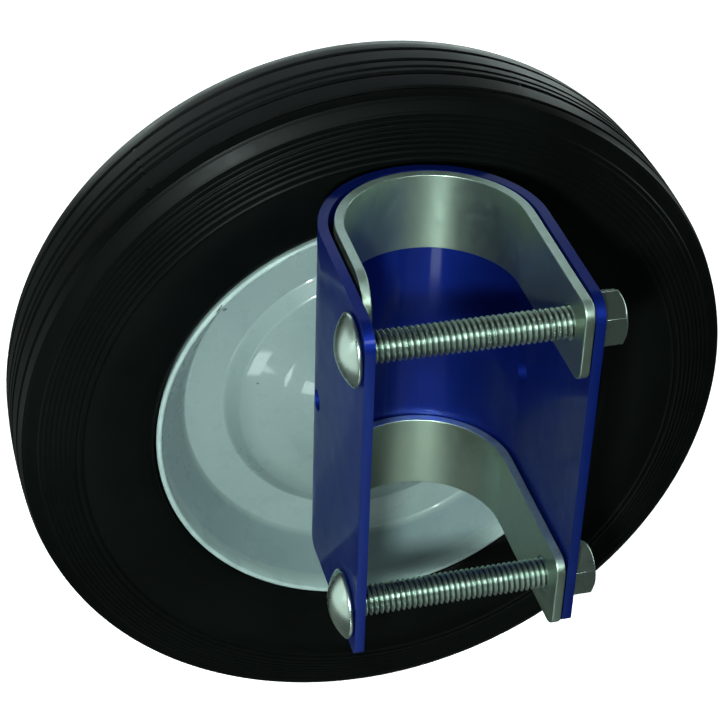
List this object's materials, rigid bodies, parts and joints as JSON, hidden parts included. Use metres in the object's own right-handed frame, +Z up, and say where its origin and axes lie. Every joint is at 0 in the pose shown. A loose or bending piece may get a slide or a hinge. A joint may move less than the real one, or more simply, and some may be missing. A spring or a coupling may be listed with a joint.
{
  "type": "gate wheel",
  "caption": "Gate wheel: ribbed rubber tyre on a pressed steel rim, turning on an axle behind a U channel clamp with strap liners and carriage bolts.",
  "frame": {"origin": "centre of the channel's rounded back at the channel's mid-height, where the axis of the clamped gate tube runs", "axes": "+Z up along the gate's end tube, +Y from the clamp to the wheel along the axle, the bolts along X with their heads at -X"},
  "size_m": [0.2032, 0.1257, 0.2032],
  "materials": {
    "blue_paint": "gloss cobalt blue enamel",
    "zinc_strap": "bright zinc plate, satin",
    "zinc_bolt": "bright zinc plate",
    "tyre_rubber": "moulded black rubber",
    "rim_enamel": "white gloss enamel",
    "bushing_nylon": "natural nylon",
    "plain_steel": "plain steel"
  },
  "bodies": {
    "clamp": {"bracket_channel": "blue_paint", "axle": "plain_steel", "axle_weld_bead": "blue_paint", "upper_liner": "zinc_strap", "lower_liner": "zinc_strap", "upper_carriage_bolt": "zinc_bolt", "lower_carriage_bolt": "zinc_bolt", "upper_nut": "zinc_bolt", "lower_nut": "zinc_bolt", "inner_washer": "zinc_strap", "outer_washer": "zinc_strap", "cotter_pin": "plain_steel"},
    "wheel": {"tyre": "tyre_rubber", "front_rim_disc": "rim_enamel", "rear_rim_disc": "rim_enamel", "hub_tube": "rim_enamel", "front_bushing": "bushing_nylon", "rear_bushing": "bushing_nylon"}
  },
  "joints": [
    {"name": "wheel_spin", "type": "hinge", "parent": "clamp", "child": "wheel", "pos_m": [0, 0.054, -0.0375], "axis": [0, 1, 0], "continuous": true}
  ]
}
